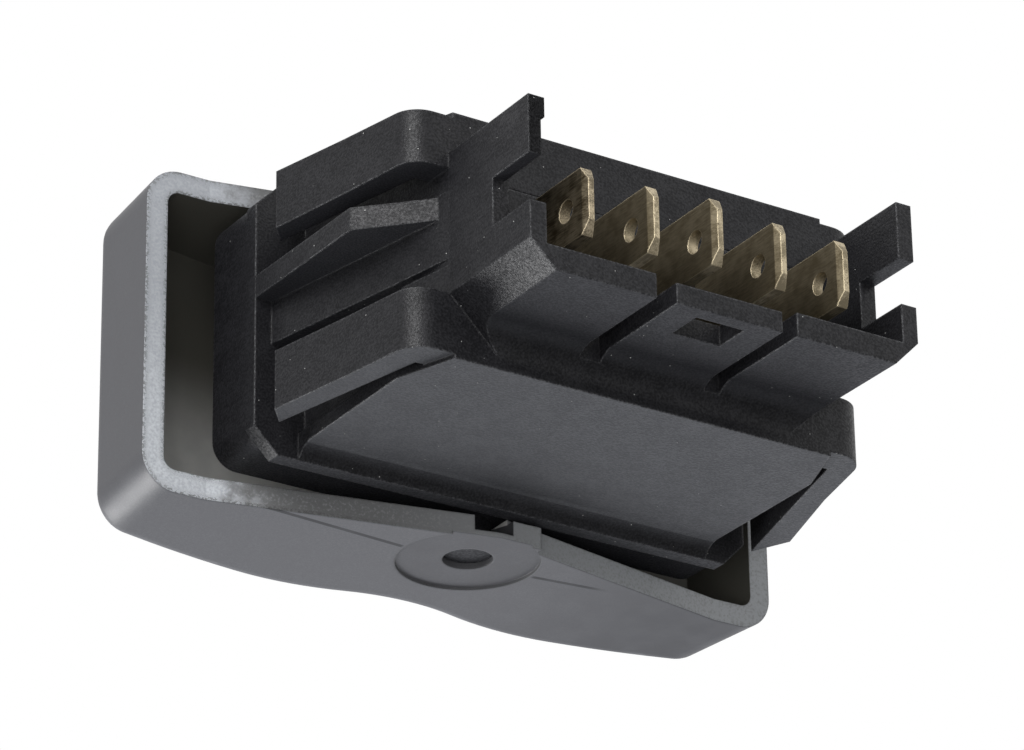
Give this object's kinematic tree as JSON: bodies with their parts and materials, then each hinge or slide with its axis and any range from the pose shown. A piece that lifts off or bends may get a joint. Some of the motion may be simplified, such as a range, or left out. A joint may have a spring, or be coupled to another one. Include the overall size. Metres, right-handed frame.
{
  "type": "power window switch",
  "caption": "Automotive power window rocker switch: hollow rocker cap on a clip-in housing with snap arms and a plug socket of flat blade terminals.",
  "frame": {"origin": "centre of the panel cut-out, in the seat plane under the housing's flange", "axes": "+Z out of the panel towards the rocker, -Z towards the plug socket, X along the rocker, -Y the socket side with the latch window"},
  "size_m": [0.0508, 0.0238, 0.0423],
  "materials": {
    "housing_plastic": "satin",
    "cap_plastic": "satin",
    "carrier_plastic": "satin",
    "guide_plastic": "satin",
    "blade_brass": "satin",
    "contact_silver": "satin",
    "bar_brass": "satin",
    "plunger_plastic": "satin",
    "spring_steel": "satin"
  },
  "bodies": {
    "housing_body": {"housing": "housing_plastic", "terminal_carrier": "carrier_plastic", "guide_plate": "guide_plastic", "terminal_blade_1": "blade_brass", "terminal_blade_2": "blade_brass", "terminal_blade_3": "blade_brass", "terminal_blade_4": "blade_brass", "terminal_blade_5": "blade_brass", "fixed_contact_1": "contact_silver", "fixed_contact_2": "contact_silver", "fixed_contact_3": "contact_silver", "fixed_contact_4": "contact_silver", "fixed_contact_5": "contact_silver", "fixed_contact_6": "contact_silver", "plunger_spring_plus": "spring_steel", "plunger_spring_minus": "spring_steel"},
    "rocker": {"rocker_cap": "cap_plastic"},
    "plunger_plus_body": {"plunger_plus": "plunger_plastic", "contact_bar_plus": "bar_brass", "moving_contact_plus_1": "contact_silver", "moving_contact_plus_2": "contact_silver", "moving_contact_plus_3": "contact_silver"},
    "plunger_minus_body": {"plunger_minus": "plunger_plastic", "contact_bar_minus": "bar_brass", "moving_contact_minus_1": "contact_silver", "moving_contact_minus_2": "contact_silver", "moving_contact_minus_3": "contact_silver"}
  },
  "joints": [
    {"name": "rocker_tilt", "type": "hinge", "parent": "housing_body", "child": "rocker", "pos_m": [0, 0, 0.005], "axis": [0, 1, 0], "range_deg": [-7, 7], "stiffness_Nm_per_rad": 0.3},
    {"name": "plunger_plus_travel", "type": "slide", "parent": "housing_body", "child": "plunger_plus_body", "axis": [0, 0, -1], "range_m": [-0.00067, 0.00067], "deforming": ["plunger_spring_plus"]},
    {"name": "plunger_minus_travel", "type": "slide", "parent": "housing_body", "child": "plunger_minus_body", "axis": [0, 0, -1], "range_m": [-0.00056, 0.00056], "deforming": ["plunger_spring_minus"]}
  ],
  "couplings": [
    {"joint": "plunger_plus_travel", "follows": "rocker_tilt", "m_per_rad": 0.00545},
    {"joint": "plunger_minus_travel", "follows": "rocker_tilt", "m_per_rad": -0.00455}
  ]
}
